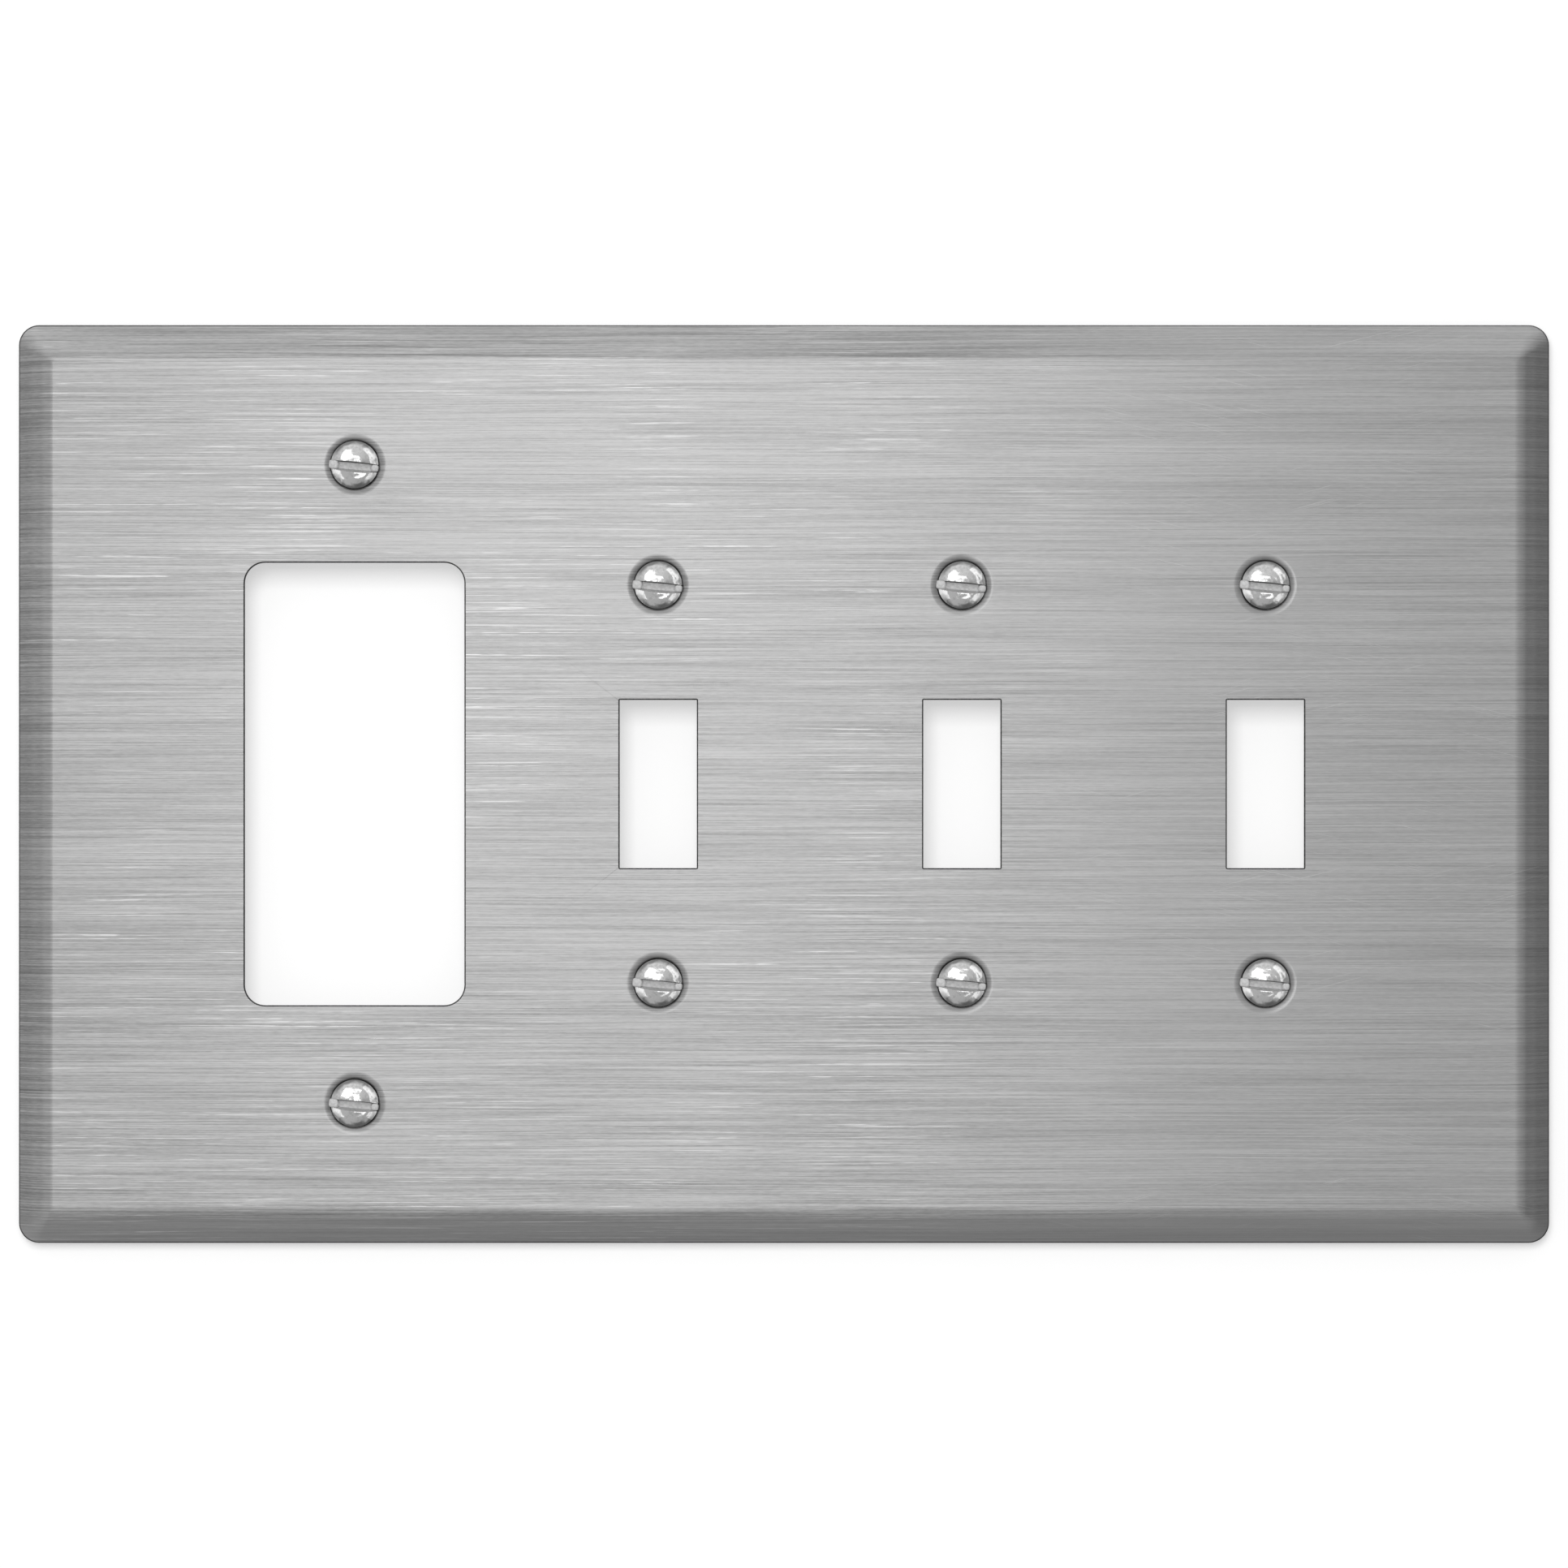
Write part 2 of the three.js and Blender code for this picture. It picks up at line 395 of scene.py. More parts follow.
def make_streaks_group():
    inputs = {"Length": 25 * MM, "Width": 0.2 * MM, "Slant": 0.0, "Waver": 0.2 * MM, "Shift": 0.0}
    group, given, result = new_group("streaks", inputs, ["Streak"])
    place = add(group, "ShaderNodeSeparateXYZ", {0: given.outputs["Place"]})
    across_x, depth, up = (place.outputs[i] for i in range(3))
    slow = add(group, "ShaderNodeCombineXYZ", {
        "X": calculate(group, "DIVIDE", across_x, DRIFT_LENGTH),
        "Y": given.outputs["Shift"],
        "Z": calculate(group, "DIVIDE", up, DRIFT_HEIGHT),
    })
    drift = add(group, "ShaderNodeTexNoise", {"Vector": slow.outputs[0], "Scale": 1.0, "Detail": 1.0})
    drift = calculate(group, "SUBTRACT", drift.outputs["Fac"], 0.5)
    level = calculate(group, "MULTIPLY_ADD", drift, given.outputs["Waver"], up)
    level = calculate(group, "MULTIPLY_ADD", across_x, given.outputs["Slant"], level)
    squeezed_depth = calculate(group, "DIVIDE", depth, given.outputs["Length"])
    squeezed = add(group, "ShaderNodeCombineXYZ", {
        "X": calculate(group, "DIVIDE", across_x, given.outputs["Length"]),
        "Y": calculate(group, "ADD", squeezed_depth, given.outputs["Shift"]),
        "Z": calculate(group, "DIVIDE", level, given.outputs["Width"]),
    })
    noise = add(group, "ShaderNodeTexNoise", {
        "Vector": squeezed.outputs[0], "Scale": 1.0, "Detail": 1.0, "Roughness": 0.6,
    })
    group.links.new(noise.outputs["Fac"], result.inputs["Streak"])
    return group


streaks_group = make_streaks_group()
print("node group:", streaks_group.name)

# %% [markdown]
# Metal is never quite even. Handling, cleaning and the rolling mill leave soft clouds a few
# centimetres wide, and nickel plating has them at the scale of a millimetre. One group with a size
# serves both.

# %% Soft clouds
def make_clouds_group():
    group, given, result = new_group("clouds", {"Size": 30 * MM, "Shift": 0.0}, ["Cloud"])
    scaled = add(group, "ShaderNodeVectorMath", {
        0: given.outputs["Place"], "Scale": calculate(group, "DIVIDE", 1.0, given.outputs["Size"]),
    }, operation="SCALE")
    shifted = {0: scaled.outputs[0], 1: given.outputs["Shift"]}
    moved = add(group, "ShaderNodeVectorMath", shifted, operation="ADD")
    noise = add(group, "ShaderNodeTexNoise", {
        "Vector": moved.outputs[0], "Scale": 1.0, "Detail": 2.0, "Roughness": 0.5,
    })
    group.links.new(noise.outputs["Fac"], result.inputs["Cloud"])
    return group


clouds_group = make_clouds_group()
print("node group:", clouds_group.name)

# %% [markdown]
# All the finishes here are bare metal. They share one starting point and differ only in roughness,
# in colour and in the marks on top, so a small function makes a metal and hands back its shader.

# %% Start a metal
def new_metal(name, roughness, anisotropic=0.0):
    """A material with a Principled shader set to metal, and the tree and shader to build on."""
    material = bpy.data.materials.new(name)
    material.use_nodes = True
    tree = material.node_tree
    shader = tree.nodes["Principled BSDF"]
    shader.inputs["Metallic"].default_value = 1.0
    shader.inputs["Roughness"].default_value = roughness
    shader.inputs["Anisotropic"].default_value = anisotropic
    return material, tree, shader


def mix_colour(tree, share, dark, light):
    """A Mix Color node between two colours or sockets, as its output socket."""
    node = add(tree, "ShaderNodeMix", data_type="RGBA")
    for index, value in ((0, share), (6, dark), (7, light)):
        if isinstance(value, bpy.types.NodeSocket):
            tree.links.new(value, node.inputs[index])
        else:
            node.inputs[index].default_value = value
    return node.outputs[2]


def grey(value):
    return (value, value, value, 1.0)


# %% [markdown]
# ### The brushed face
#
# The colour, the roughness and the bump all read the same streaks, so a dark streak is also a rough
# and a low one, as a real scratch is. The grain fades towards the right, where the plate is worn
# smoother and crossed by a few slanting scratches, and on the lower rim, where the belt presses
# less. Brushed metal also spreads its highlights across the scratches, which is what the tangent is
# for: it runs across the grain.

# %% Brushed steel
RIM_TOP = PLATE_HEIGHT / 2 - RIM_BENDS[-2][0]  # how far from the middle the upper and lower rims begin
DIMPLE_SHADE = "dimple_shade"
GRAIN = (  # each layer's length, width and waver in mm, its shift, and its share of the whole
    (26, 0.11, 0.5, 0.0, 0.42),
    (45, 0.30, 1.0, 3.1, 0.28),
    (110, 2.2, 2.0, 7.7, 0.14),
    (1.3, 0.14, 0.5, 5.9, 0.16),
)
WORN_FROM, WORN_TO = 15 * MM, 65 * MM
WORN_FADE = 0.45  # how much of the grain's contrast is worn away at the right
LOW_RIM_FADE = 0.6  # and how much is missing on the lower rim
SCRATCHES = ((-0.26, 20.5), (0.24, 27.1))  # slant and shift


def make_brushed_steel():
    material, tree, shader = new_metal("brushed_steel", roughness=0.32, anisotropic=0.6)
    place = object_place(tree)

    def streaks(length, width, waver, shift, slant=0.0):
        return use_group(
            tree, streaks_group, place, Length=length * MM, Width=width * MM, Waver=waver * MM,
            Slant=slant, Shift=shift,
        )

    grain = 0.0
    for length, width, waver, shift, share in GRAIN:
        grain = calculate(tree, "MULTIPLY_ADD", streaks(length, width, waver, shift), share, grain)
    split = add(tree, "ShaderNodeSeparateXYZ", {0: place})
    worn_smooth = remap(tree, split.outputs["X"], WORN_FROM, WORN_TO)
    rough_side = calculate(tree, "SUBTRACT", 1.0, worn_smooth)
    low_rim = remap(tree, split.outputs["Z"], -RIM_TOP, -RIM_TOP - 1 * MM)
    kept_on_face = calculate(tree, "MULTIPLY_ADD", worn_smooth, -WORN_FADE, 1.0)
    kept_on_rim = calculate(tree, "MULTIPLY_ADD", low_rim, -LOW_RIM_FADE, 1.0)
    contrast = calculate(tree, "MULTIPLY", kept_on_face, kept_on_rim)
    grain = calculate(tree, "MULTIPLY_ADD", calculate(tree, "SUBTRACT", grain, 0.5), contrast, 0.5)
    colour = mix_colour(tree, remap(tree, grain, *NOISE_RANGE), grey(0.36), grey(0.86))

    # Painted glints: a few streaks, in patches and beads, are turned almost white in the base colour as
    # painted highlights.
    cloud = use_group(tree, clouds_group, place, Size=42 * MM, Shift=2.0)
    patchy = calculate(tree, "MULTIPLY", remap(tree, cloud, 0.33, 0.53), rough_side)
    beads = remap(tree, streaks(3, 0.3, 0.8, 14.6), 0.35, 0.6, 0.3, 1.0)
    painted_glint = calculate(tree, "MULTIPLY", remap(tree, streaks(30, 0.2, 0.8, 12.3), 0.59, 0.68), patchy)
    colour = mix_colour(tree, calculate(tree, "MULTIPLY", painted_glint, beads), colour, grey(0.97))
    for slant, shift in SCRATCHES:
        scratch = remap(tree, streaks(15, 0.14, 1.0, shift, slant), 0.64, 0.78)
        patch = remap(tree, use_group(tree, clouds_group, place, Size=16 * MM, Shift=shift), 0.5, 0.6)
        seen = calculate(tree, "MULTIPLY", calculate(tree, "MULTIPLY", scratch, patch), worn_smooth)
        colour = mix_colour(tree, seen, colour, grey(0.76))
    # Painted shade in the dimples: the base colour darkens towards each screw head, most of all above it.
    shade = add(tree, "ShaderNodeAttribute", attribute_name=DIMPLE_SHADE).outputs["Fac"]
    colour = mix_colour(tree, shade, colour, grey(0.10))
    tree.links.new(colour, shader.inputs["Base Color"])
    tree.links.new(remap(tree, grain, *NOISE_RANGE, 0.27, 0.37), shader.inputs["Roughness"])
    bump = add(tree, "ShaderNodeBump", {"Height": grain, "Strength": 0.12, "Distance": 0.05 * MM})
    tree.links.new(bump.outputs["Normal"], shader.inputs["Normal"])
    facing = add(tree, "ShaderNodeNewGeometry").outputs["Normal"]
    across_grain = add(tree, "ShaderNodeVectorMath", {0: facing, 1: (1, 0, 0)}, operation="CROSS_PRODUCT")
    tree.links.new(across_grain.outputs[0], shader.inputs["Tangent"])
    return material


# %% [markdown]
# The back keeps the dull skin of the rolling mill, with soft clouds and faint rolling lines. A cut
# edge is torn metal, so it is rough with a fine bump, and its near-black colour is partly the torn
# metal and partly painted shade.

# %% The unbrushed back and the cut edges
def make_mill_steel():
    material, tree, shader = new_metal("mill_finish_steel", roughness=0.45)
    place = object_place(tree)
    cloud = use_group(tree, clouds_group, place, Size=18 * MM, Shift=9.0)
    rolled = use_group(tree, streaks_group, place, Length=60 * MM, Width=1.1 * MM, Waver=0.5 * MM, Shift=5.0)
    tone = calculate(tree, "MULTIPLY_ADD", rolled, 0.4, calculate(tree, "MULTIPLY", cloud, 0.6))
    colour = mix_colour(tree, remap(tree, tone, *NOISE_RANGE), grey(0.50), grey(0.60))
    tree.links.new(colour, shader.inputs["Base Color"])
    tree.links.new(remap(tree, cloud, *NOISE_RANGE, 0.38, 0.52), shader.inputs["Roughness"])
    return material


def make_cut_and_shade_steel():
    material, tree, shader = new_metal("cut_edge_and_shade_steel", roughness=0.5)
    torn = use_group(tree, clouds_group, object_place(tree), Size=0.5 * MM, Shift=4.0)
    # The near-black colour is partly torn metal and partly painted shade, for the dark line round the
    # openings and the plate.
    colour = mix_colour(tree, remap(tree, torn, *NOISE_RANGE), grey(0.08), grey(0.16))
    tree.links.new(colour, shader.inputs["Base Color"])
    bump = add(tree, "ShaderNodeBump", {"Height": torn, "Strength": 0.3, "Distance": 0.1 * MM})
    tree.links.new(bump.outputs["Normal"], shader.inputs["Normal"])
    return material


plate_finishes = [make_brushed_steel(), make_mill_steel(), make_cut_and_shade_steel()]
wall_plate = make_piece(plate, "brushed_wall_plate", "plate", "wall_plate", plate_finishes)
print(wall_plate.name, "polygons:", len(wall_plate.data.polygons))

# %% [markdown]
# The dimples get painted shade in the base colour, most of all above each screw. The mesh itself
# knows where the dimples are, so a vertex attribute says how much painted shade each point gets:
# nothing at a dimple's outer edge, and the most where the screw's head begins.

# %% Painted shade in the dimples
PAINTED_SHADE_STRENGTH = 0.55
PAINTED_SHADE_ABOVE = 0.3  # how much more painted shade lies above the screw than beside it
dimple_shading = wall_plate.data.attributes.new(DIMPLE_SHADE, "FLOAT", "POINT")
for vert, value in zip(wall_plate.data.vertices, dimple_shading.data):
    away = min((vert.co - seat for seat in screw_seats.values()), key=lambda v: math.hypot(v.x, v.z))
    radius = math.hypot(away.x, away.z)
    inward = min(max((CONE_MOUTH + ROLL_REACH - radius) / ROLL_REACH, 0), 1)
    value.value = PAINTED_SHADE_STRENGTH * inward ** 2 * (1 - PAINTED_SHADE_ABOVE + PAINTED_SHADE_ABOVE * away.z / radius)
print("points with film:", sum(value.value > 0 for value in dimple_shading.data))

# %% [markdown]
# ## The screws
#
# A plate screw is turned in one piece: a shallow dome with a slot, a cone under it that centres it in
# the dimple, and a threaded shank. All eight are alike, so one is made at the origin, with its head's
# edge at y = 0 and its point towards the wall, and each place gets a copy.
#
# The head is a spun section. The arc of the dome comes from the head's radius and its rise, and the
# lathe tool leaves two faint rings on it, which catch the light as concentric arcs.

# %% The head of a screw
HEAD_RADIUS = 3.6 * MM
HEAD_EDGE = 0.14 * MM
DOME_RISE = 1.13 * MM
SHANK_RADIUS = 1.75 * MM
HEAD_STEPS = 96
DOME_STEPS = 28
RING_SPACING = 1.25 * MM
RING_DEPTH = 0.03 * MM
SPHERE_RADIUS = (HEAD_RADIUS**2 + DOME_RISE**2) / (2 * DOME_RISE)
CONE_DEPTH = (HEAD_RADIUS - SHANK_RADIUS) / CONE_SLOPE
SLOT_FLOOR = 0.22 * MM  # how far the slot's floor lies below the head's edge


def spin_section(bm, section, steps, turns=1, rise=0.0):
    """Spins (radius, depth) points about the screw's axis, rising as it goes for a thread."""
    verts = [bm.verts.new((radius, depth, 0)) for radius, depth in section]
    edges = [bm.edges.new(pair) for pair in zip(verts, verts[1:])]
    bmesh.ops.spin(
        bm, geom=verts + edges, cent=(0, 0, 0), axis=(0, 1, 0), dvec=(0, rise / steps, 0),
        angle=2 * math.pi * turns, steps=steps * turns, use_merge=rise == 0, use_duplicate=False,
    )
    bmesh.ops.remove_doubles(bm, verts=bm.verts, dist=2 * WELD)


def head_section():
    rim_angle = math.asin(HEAD_RADIUS / SPHERE_RADIUS)
    points = []
    for step in range(DOME_STEPS + 1):
        angle = rim_angle * step / DOME_STEPS
        radius = SPHERE_RADIUS * math.sin(angle)
        ring = RING_DEPTH * math.sin(math.pi * radius / RING_SPACING) ** 2
        points.append((radius, SPHERE_RADIUS * (1 - math.cos(angle)) + ring - DOME_RISE - HEAD_EDGE))
    below_slot = 2 * SLOT_FLOOR
    return points + [
        (HEAD_RADIUS, 0), (HEAD_RADIUS - below_slot * CONE_SLOPE, below_slot), (SHANK_RADIUS, CONE_DEPTH),
    ]


screw = bmesh.new()
spin_section(screw, head_section(), HEAD_STEPS)
print("head faces:", len(screw.faces))

# %% [markdown]
# The slot is sawn across the head. Its upper wall stands almost straight, so it shows as one thin line,
# darkened with painted shade, and its lower wall leans back and shows as a grey band. Three planes bound
# the slot, so three bisections draw its outline on the dome, and the strip between them is deleted.

# %% Saw the slot
SLOT_TILT = math.radians(5.5)
SLOT_WALLS = {  # how far above the middle each wall's foot lies, and how far the wall leans back
    "top wall": (0.26 * MM, math.radians(7)),
    "bottom wall": (-0.74 * MM, math.radians(19)),
}
along_slot = Vector((math.cos(SLOT_TILT), 0, -math.sin(SLOT_TILT)))
up_slot = Vector((math.sin(SLOT_TILT), 0, math.cos(SLOT_TILT)))
outward = Vector((0, -1, 0))
slot_planes = {"floor": (-outward * SLOT_FLOOR, outward)}
for wall, (foot, lean) in SLOT_WALLS.items():
    slot_planes[wall] = (
        up_slot * foot - outward * SLOT_FLOOR,
        up_slot * math.cos(lean) - outward * math.copysign(math.sin(lean), foot),
    )


def beyond(point, plane):
    """How far a point lies past one of the slot's planes."""
    at, normal = slot_planes[plane]
    return (point - at).dot(normal)


def in_slot(face):
    centre = face.calc_center_median()
    return beyond(centre, "top wall") < 0 < beyond(centre, "bottom wall")


def bisect(bm, faces, plane):
    geom = list({g for face in faces for g in (face, *face.edges, *face.verts)})
    at, normal = slot_planes[plane]
    bmesh.ops.bisect_plane(bm, geom=geom, dist=WELD / 2, plane_co=at, plane_no=normal)


for wall in ("top wall", "bottom wall"):
    bisect(screw, [f for f in screw.faces if f.calc_center_median().y < 2 * SLOT_FLOOR], wall)
bisect(screw, [f for f in screw.faces if in_slot(f)], "floor")
sawn = [f for f in screw.faces if in_slot(f) and beyond(f.calc_center_median(), "floor") > 0]
bmesh.ops.delete(screw, geom=sawn, context="FACES")
print("faces sawn away:", len(sawn))

# %% [markdown]
# The cut leaves the head open. Each wall is one flat face between the edge cut in the dome and its
# foot, and the floor is one face between the two feet, so three calls of the fill operator close it.
# A small bevel then rounds the slot's two long edges, as tumbling in a drum does.

# %% Fill the walls and the floor, and round the slot's edges
LIP_ROUND = {"top wall": 0.09 * MM, "bottom wall": 0.16 * MM}


def lies_on(edge, plane):
    return all(abs(beyond(v.co, plane)) < 2 * WELD for v in edge.verts)


slot_edges = [e for e in screw.edges if e.is_boundary and all(v.co.y < CONE_DEPTH / 2 for v in e.verts)]
floor_edges = [e for e in slot_edges if lies_on(e, "floor")]
lips = {}
for wall in ("top wall", "bottom wall"):
    lips[wall] = [e for e in slot_edges if lies_on(e, wall)]
    corners = [v for e in floor_edges for v in e.verts if v in {v for e in lips[wall] for v in e.verts}]
    foot = bmesh.ops.contextual_create(screw, geom=corners)["edges"]
    floor_edges += foot
    bmesh.ops.contextual_create(screw, geom=lips[wall] + foot)
bmesh.ops.contextual_create(screw, geom=floor_edges)
for wall, roundness in LIP_ROUND.items():
    bmesh.ops.bevel(
        screw, geom=[e for e in lips[wall] if e.is_valid],
        affect="EDGES", offset=roundness, offset_type="OFFSET",
        segments=3, profile=0.5, material=-1, clamp_overlap=True,
    )
print("head faces:", len(screw.faces), "open edges:", sum(e.is_boundary for e in screw.edges))

# %% [markdown]
# The saw and the tumbling that follows push a little metal out at each end of the slot. The two ears
# are small rounded lumps that lean outwards with the dome, so each starts as a turned cube and its
# edges are bevelled almost to the middle.

# %% The ears at the slot's ends
EARS = {  # how far along the slot its middle lies, then its length, height and width
    "left": (-3.15 * MM, 1.55 * MM, 0.80 * MM, 1.30 * MM),
    "right": (3.08 * MM, 1.20 * MM, 0.76 * MM, 1.08 * MM),
}
EAR_LIFT = 0.18 * MM
EAR_LEAN = math.radians(18)
EAR_ROUND = 0.37 * MM
slot_middle = up_slot * sum(foot for foot, lean in SLOT_WALLS.values()) / 2
head_faces = set(screw.faces)
for along, length, height, width in EARS.values():
    place = Matrix.Translation(along_slot * along + slot_middle + outward * EAR_LIFT)
    lean = Matrix.Rotation(math.copysign(EAR_LEAN, along), 4, "Z")
    size = Matrix.Diagonal((length, height, width, 1))
    turn = Matrix.Rotation(SLOT_TILT, 4, "Y")
    cube = bmesh.ops.create_cube(screw, size=1, matrix=place @ turn @ lean @ size)
    bmesh.ops.bevel(
        screw, geom=list({e for v in cube["verts"] for e in v.link_edges}), affect="EDGES", offset=EAR_ROUND,
        offset_type="OFFSET", segments=5, profile=0.5, material=-1, clamp_overlap=True,
    )
ear_faces = [f for f in screw.faces if f not in head_faces]
print("ear faces:", len(ear_faces))

# %% [markdown]
# A thread is a V-shaped groove that climbs as it goes round. The same spin that made the head makes
# it, if each step also moves along the axis: the section is one pitch of the thread, and after a full
# turn its foot lands exactly on the head of the turn before, where merging doubles joins them.

# %% Cut the thread
PITCH = 25.4 * MM / 32
THREAD_TURNS = 11
THREAD_STEPS = 48
FLANK, CREST = 0.38 * PITCH, 0.12 * PITCH  # how far each part of the thread runs along the screw
ROOT_RADIUS = SHANK_RADIUS - 0.61 * PITCH
THREAD_START = CONE_DEPTH + 0.25 * MM
TIP_DEPTH = 12.7 * MM
TIP_RADIUS = 1.15 * MM

one_pitch = [
    (ROOT_RADIUS, 0), (SHANK_RADIUS, FLANK), (SHANK_RADIUS, FLANK + CREST),
    (ROOT_RADIUS, 2 * FLANK + CREST), (ROOT_RADIUS, PITCH),
]
head_end = [e for e in screw.edges if e.is_boundary]
spin_section(
    screw, [(radius, THREAD_START + depth) for radius, depth in one_pitch],
    THREAD_STEPS, turns=THREAD_TURNS, rise=PITCH,
)
thread_ends = [e for e in screw.edges if e.is_boundary and e not in head_end]
half_way = (THREAD_START + TIP_DEPTH) / 2
upper_end = [e for e in thread_ends if e.verts[0].co.y < half_way]
lower_end = [e for e in thread_ends if e.verts[0].co.y > half_way]
tip = bmesh.ops.create_circle(
    screw, cap_ends=True, radius=TIP_RADIUS, segments=THREAD_STEPS,
    matrix=Matrix.Translation((0, TIP_DEPTH, 0)) @ Matrix.Rotation(math.radians(-90), 4, "X"),
)
tip_edges = list({e for v in tip["verts"] for e in v.link_edges})
bmesh.ops.bridge_loops(screw, edges=head_end + upper_end)
bmesh.ops.bridge_loops(screw, edges=lower_end + tip_edges)
bmesh.ops.recalc_face_normals(screw, faces=screw.faces)
print("screw faces:", len(screw.faces), "open edges:", sum(e.is_boundary for e in screw.edges))

# %% [markdown]
# ### Nickel
#
# The screws are plated with bright nickel and then tumbled, so the dome mirrors the room in soft,
# dented patches. The pattern has to follow each screw, so the mesh carries a vector attribute that
# holds every point's place on the screw itself, and the material reads that.

# %% Bright nickel, the rougher nickel of the slot, and painted shade for its upper wall
SCREW_PLACE = "place_on_screw"
DENT_SIZE = 1.6 * MM
STAIN_SIZE = 0.6 * MM
RAGGEDNESS = 1.2 * MM  # how far the dents push the painted dark rim of the head in and out
DARK_RIM_RADII = (3.45 * MM, 3.95 * MM)  # where the painted dark rim begins, and where it is darkest
DARK_RIM_HEIGHTS = (0.9 * MM, 2.4 * MM)  # it is painted at the top and bottom of the head, not at its sides


def make_nickel():
    material, tree, shader = new_metal("tumbled_nickel", roughness=0.17)
    place = add(tree, "ShaderNodeAttribute", attribute_name=SCREW_PLACE).outputs["Vector"]
    dents = use_group(tree, clouds_group, place, Size=DENT_SIZE, Shift=1.7)
    stains = use_group(tree, clouds_group, place, Size=STAIN_SIZE, Shift=6.4)
    colour = mix_colour(tree, remap(tree, stains, 0.3, 0.55), grey(0.76), grey(0.95))
    flat = add(tree, "ShaderNodeVectorMath", {0: place, 1: (1, 0, 1)}, operation="MULTIPLY").outputs[0]
    radius = add(tree, "ShaderNodeVectorMath", {0: flat}, operation="LENGTH").outputs["Value"]
    ragged = calculate(tree, "MULTIPLY_ADD", dents, RAGGEDNESS, radius)
    up = calculate(tree, "ABSOLUTE", add(tree, "ShaderNodeSeparateXYZ", {0: place}).outputs["Z"])
    # Painted shade and dark reflection round the rim of the head, mostly at its top and bottom.
    near_edge = remap(tree, ragged, *DARK_RIM_RADII)
    painted_dark_rim = calculate(tree, "MULTIPLY", near_edge, remap(tree, up, *DARK_RIM_HEIGHTS, 0.1, 0.75))
    tree.links.new(mix_colour(tree, painted_dark_rim, colour, grey(0.10)), shader.inputs["Base Color"])
    tree.links.new(remap(tree, stains, 0.35, 0.65, 0.17, 0.08), shader.inputs["Roughness"])
    bump = add(tree, "ShaderNodeBump", {"Height": dents, "Strength": 0.5, "Distance": 0.2 * MM})
    tree.links.new(bump.outputs["Normal"], shader.inputs["Normal"])
    return material


def make_slot_nickel():
    material, tree, shader = new_metal("sawn_nickel", roughness=0.55)
    shader.inputs["Metallic"].default_value = 0.4
    place = add(tree, "ShaderNodeAttribute", attribute_name=SCREW_PLACE).outputs["Vector"]
    chatter = use_group(tree, clouds_group, place, Size=0.35 * MM, Shift=8.8)
    colour = mix_colour(tree, remap(tree, chatter, *NOISE_RANGE), grey(0.74), grey(0.92))
    tree.links.new(colour, shader.inputs["Base Color"])
    return material


# The slot's upper wall: near-black nickel as painted shade.
def make_painted_shade_nickel():
    material, tree, shader = new_metal("painted_shade_nickel", roughness=0.5)
    place = add(tree, "ShaderNodeAttribute", attribute_name=SCREW_PLACE).outputs["Vector"]
    speckle = use_group(tree, clouds_group, place, Size=0.3 * MM, Shift=3.3)
    colour = mix_colour(tree, remap(tree, speckle, *NOISE_RANGE), grey(0.05), grey(0.12))
    tree.links.new(colour, shader.inputs["Base Color"])
    return material


# %% [markdown]
# The faces get their finishes by where they lie: inside the slot or not, and on its upper wall or
# not; the upper wall gets near-black nickel as painted shade. Then the one finished screw is copied to
# each seat. The mesh is moved, not the object, so every piece keeps its origin where the CAD model has it.

# %% Place the eight screws
BRIGHT, SAWN, SHADED_WALL = 0, 1, 2  # the screw's three material slots
for face in screw.faces:
    centre = face.calc_center_median()
    inside = beyond(centre, "top wall") < SLACK and beyond(centre, "bottom wall") > -SLACK
    face.material_index = SAWN if inside and centre.y < SLOT_FLOOR + SLACK else BRIGHT
    # The upper wall of the slot gets the painted shade finish.
    if face.material_index == SAWN and abs(beyond(centre, "top wall")) < SLACK:
        face.material_index = SHADED_WALL
for face in ear_faces:
    face.material_index = SAWN

screw_finishes = [make_nickel(), make_slot_nickel(), make_painted_shade_nickel()]
on_screw = [c for v in screw.verts for c in v.co]
screws = []
for name, seat in screw_seats.items():
    copy = screw.copy()
    bmesh.ops.translate(copy, vec=seat, verts=copy.verts)
    piece = make_piece(copy, name + "_threaded", name, name, screw_finishes)
    piece.data.attributes.new(SCREW_PLACE, "FLOAT_VECTOR", "POINT").data.foreach_set("vector", on_screw)
    screws.append(piece)
print("screws placed:", len(screws))

# %% [markdown]
# ## Stage, light and camera
#
# The plate is shown on a plain pale wall over a plain pale floor. Both are seen only by the camera,
# so they don't tint the steel, and their backs are clear, so that a view from behind isn't blocked.
# The wall stands a little way behind the plate, as a paper backdrop does, which widens the shadows.

# %% The wall and the floor
WALL_GAP = 1.5 * MM
FLOOR_DROP = 0.35
STAGE_SIZE = 6.0


def make_backdrop_paint(glow):
    material = bpy.data.materials.new("backdrop_paint")
    material.use_nodes = True
    tree = material.node_tree
    shader = tree.nodes["Principled BSDF"]
    shader.inputs["Base Color"].default_value = grey(0.8)
    shader.inputs["Roughness"].default_value = 1.0
    shader.inputs["Specular IOR Level"].default_value = 0.0
    shader.inputs["Emission Color"].default_value = grey(1.0)
    shader.inputs["Emission Strength"].default_value = glow
    clear = add(tree, "ShaderNodeBsdfTransparent")
    behind = add(tree, "ShaderNodeNewGeometry").outputs["Backfacing"]
    mixed = add(tree, "ShaderNodeMixShader", {0: behind, 1: shader.outputs[0], 2: clear.outputs[0]})
    tree.links.new(mixed.outputs[0], tree.nodes["Material Output"].inputs["Surface"])
    return material


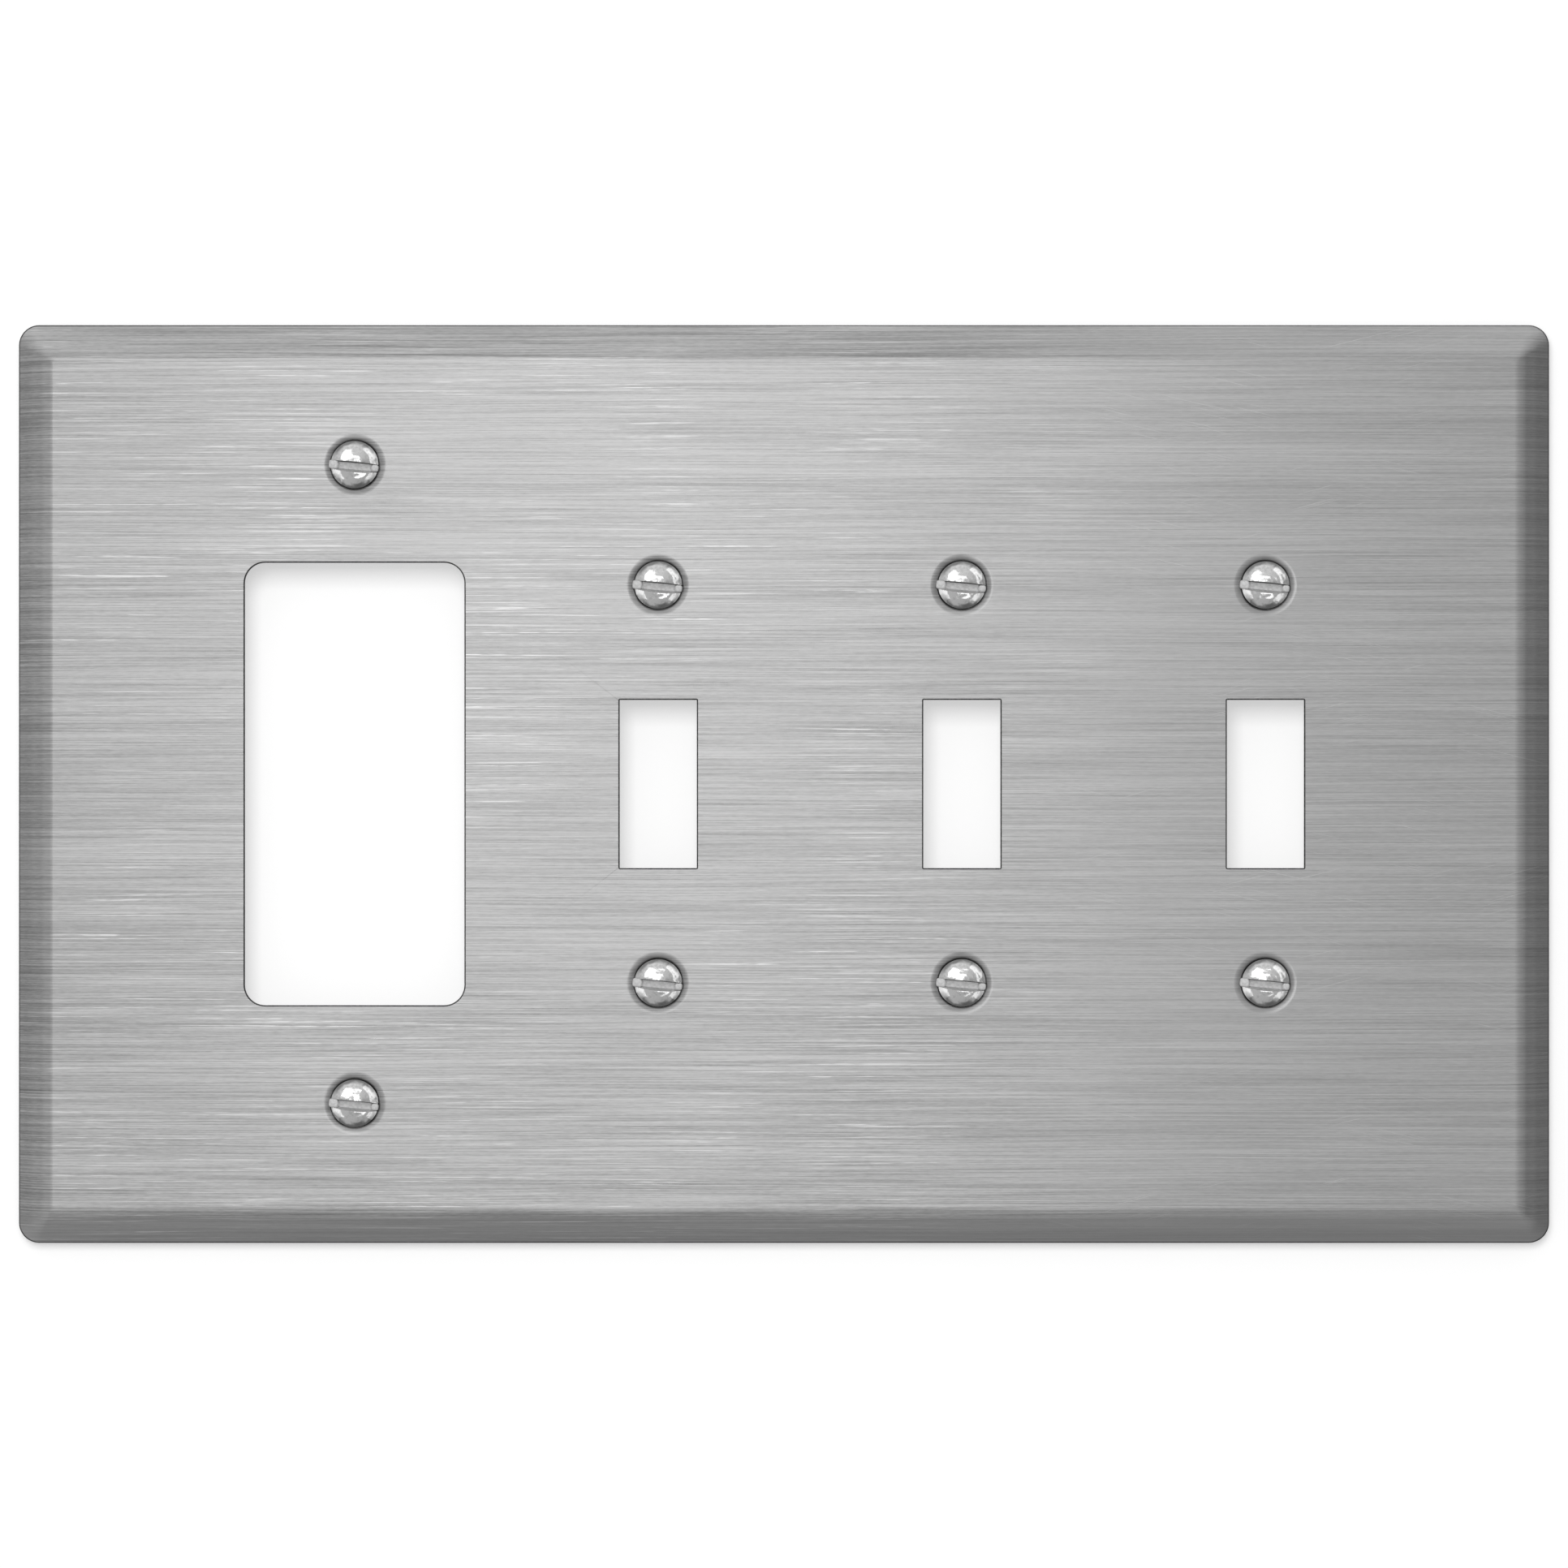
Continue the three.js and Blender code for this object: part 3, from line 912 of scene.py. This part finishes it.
def make_backdrop(name, matrix, paint):
    bm = bmesh.new()
    bmesh.ops.create_grid(bm, x_segments=1, y_segments=1, size=STAGE_SIZE / 2, matrix=matrix)
    mesh = bpy.data.meshes.new(name)
    bm.to_mesh(mesh)
    mesh.materials.append(paint)
    backdrop = bpy.data.objects.new(name, mesh)
    backdrops.objects.link(backdrop)
    for ray in ("diffuse", "glossy", "transmission", "volume_scatter", "shadow"):
        setattr(backdrop, "visible_" + ray, False)


WALL_GLOW = 0.39
backdrops = bpy.data.collections.new("backdrops")
bpy.context.scene.collection.children.link(backdrops)
backdrop_paint = make_backdrop_paint(WALL_GLOW)
upright = Matrix.Rotation(math.radians(90), 4, "X")
make_backdrop("wall", Matrix.Translation((0, WALL_GAP, 0)) @ upright, backdrop_paint)
make_backdrop("floor", Matrix.Translation((0, 0, -FLOOR_DROP)), backdrop_paint)

# %% [markdown]
# Steel shows whatever is round it, so the light is really a picture for the rim and the face to
# mirror. Separate lamps leave dark gaps between them, and each gap becomes a line along a bend. A
# world that fades smoothly from side to side, like a photographer's tent of white cloth, leaves none.

# %% Soft studio light
TENT = {  # which way each side of the tent faces, and how bright it is
    "above": ((0, 0, 1), 0.45),
    "below": ((0, 0, -1), 0.11),
    "left": ((-1, 0, 0), 0.165),
    "front": ((0, -1, 0), 0.18),
}
TENT_BASE = 0.163
BACKDROP_WHITE = 1.0


def make_tent():
    """A world that is white to the camera and lights the object from each side by its own amount."""
    world = bpy.data.worlds.new("tent")
    world.use_nodes = True
    tree = world.node_tree
    direction = add(tree, "ShaderNodeTexCoord").outputs["Generated"]
    brightness = TENT_BASE
    for side, strength in TENT.values():
        towards = add(tree, "ShaderNodeVectorMath", {0: direction, 1: side}, operation="DOT_PRODUCT")
        facing = calculate(tree, "MAXIMUM", towards.outputs["Value"], 0.0)
        brightness = calculate(tree, "MULTIPLY_ADD", facing, strength, brightness)
    lit = add(tree, "ShaderNodeBackground", {"Color": grey(1.0), "Strength": brightness})
    seen = add(tree, "ShaderNodeBackground", {"Color": grey(1.0), "Strength": BACKDROP_WHITE})
    camera_ray = add(tree, "ShaderNodeLightPath").outputs["Is Camera Ray"]
    sky = add(tree, "ShaderNodeMixShader", {0: camera_ray, 1: lit.outputs[0], 2: seen.outputs[0]})
    output = next(n for n in tree.nodes if n.bl_idname == "ShaderNodeOutputWorld")
    tree.links.new(sky.outputs[0], output.inputs["Surface"])
    return world


bpy.context.scene.world = make_tent()
print("tent sides:", list(TENT))

# %% [markdown]
# Two lamps add what the tent can't: a bright glow left of the middle of the plate, and an even light
# from the front. A third one lights the back for views from behind. An area lamp gets brighter with
# its size, so each one's power is worked out from how bright its surface should look.

# %% The lamps
SOFTBOXES = {  # place, width and height in metres, and how bright each looks
    "key": ((-0.06, -1.15, 0.10), 0.30, 0.30, 1.40),
    "front": ((0.00, -1.60, 0.00), 1.3, 1.1, 0.10),
    "behind": ((0.30, 1.20, 0.60), 1.0, 1.0, 1.2),
}


def make_softbox(name, place, width, height, brightness):
    """A lamp aimed at the plate that the camera doesn't see."""
    light = bpy.data.lights.new(name, "AREA")
    light.shape = "RECTANGLE"
    light.size, light.size_y = width, height
    light.energy = brightness * math.pi * width * height
    lamp = bpy.data.objects.new(name, light)
    lamp.location = place
    lamp.rotation_euler = (-Vector(place)).to_track_quat("-Z", "Y").to_euler()
    lamp.visible_camera = False
    bpy.context.scene.collection.objects.link(lamp)
    return lamp


for name, settings in SOFTBOXES.items():
    make_softbox(name, *settings)
print("softboxes:", len(SOFTBOXES))

# %% [markdown]
# The domes of the screws mirror a wide part of the room, and their bright patches need lamps with
# clear edges. They stand far off, so that all eight domes show the same patches. The same lamps
# would draw lines along the rim, so light linking keeps them to the screws alone.

# %% Highlights on the screws
SCREW_SOFTBOXES = {  # the same measures, for lamps that light only the screws
    "high": ((-0.66, -3.00, 1.35), 3.15, 1.02, 0.9),
    "spark": ((-1.44, -3.00, 2.22), 1.35, 1.20, 0.6),
    "low": ((0.51, -3.00, -1.14), 1.80, 0.90, 1.2),
    "left_low": ((-2.25, -1.80, -1.20), 1.20, 2.10, 0.5),
    "right_low": ((2.25, -1.80, -1.35), 1.20, 1.80, 0.5),
    "right_high": ((2.10, -1.80, 1.20), 1.05, 2.70, 0.5),
}
screw_group = bpy.data.collections.new("screws")
for screw in screws:
    screw_group.objects.link(screw)
for name, settings in SCREW_SOFTBOXES.items():
    make_softbox(name, *settings).light_linking.receiver_collection = screw_group

# %% [markdown]
# A photographer lights a backdrop with a lamp of its own, so that it comes out white without any more
# light on the object. Light linking does the same: this lamp reaches only the backdrop, but the plate
# still shades it, which draws the soft shadows inside the openings.

# %% The backdrop's own lamp
wash = make_softbox("wash", (-0.16, -1.27, 0.42), 0.60, 0.60, 6.4)
wash.light_linking.receiver_collection = backdrops

# %% [markdown]
# The picture is taken square on and from far off, so the camera gets a long lens. Its distance
# follows from the lens, the sensor and the width that has to fit. The Standard view keeps the whites
# white.

# %% The camera
LENS = 200
SENSOR = 36
PLATE_SHARE = 0.9755  # how much of the picture's width the plate fills
FRAME_WIDTH = PLATE_WIDTH / PLATE_SHARE
camera_data = bpy.data.cameras.new("camera")
camera_data.lens = LENS
camera_data.sensor_width = SENSOR
camera_data.clip_end = 50
camera = bpy.data.objects.new("camera", camera_data)
camera.location = (0, -FRAME_WIDTH * LENS / SENSOR, 0)
camera.rotation_euler = (math.radians(90), 0, 0)
bpy.context.scene.collection.objects.link(camera)
bpy.context.scene.camera = camera
bpy.context.scene.view_settings.view_transform = "Standard"
print("camera at", round(camera.location.y, 3), "m")
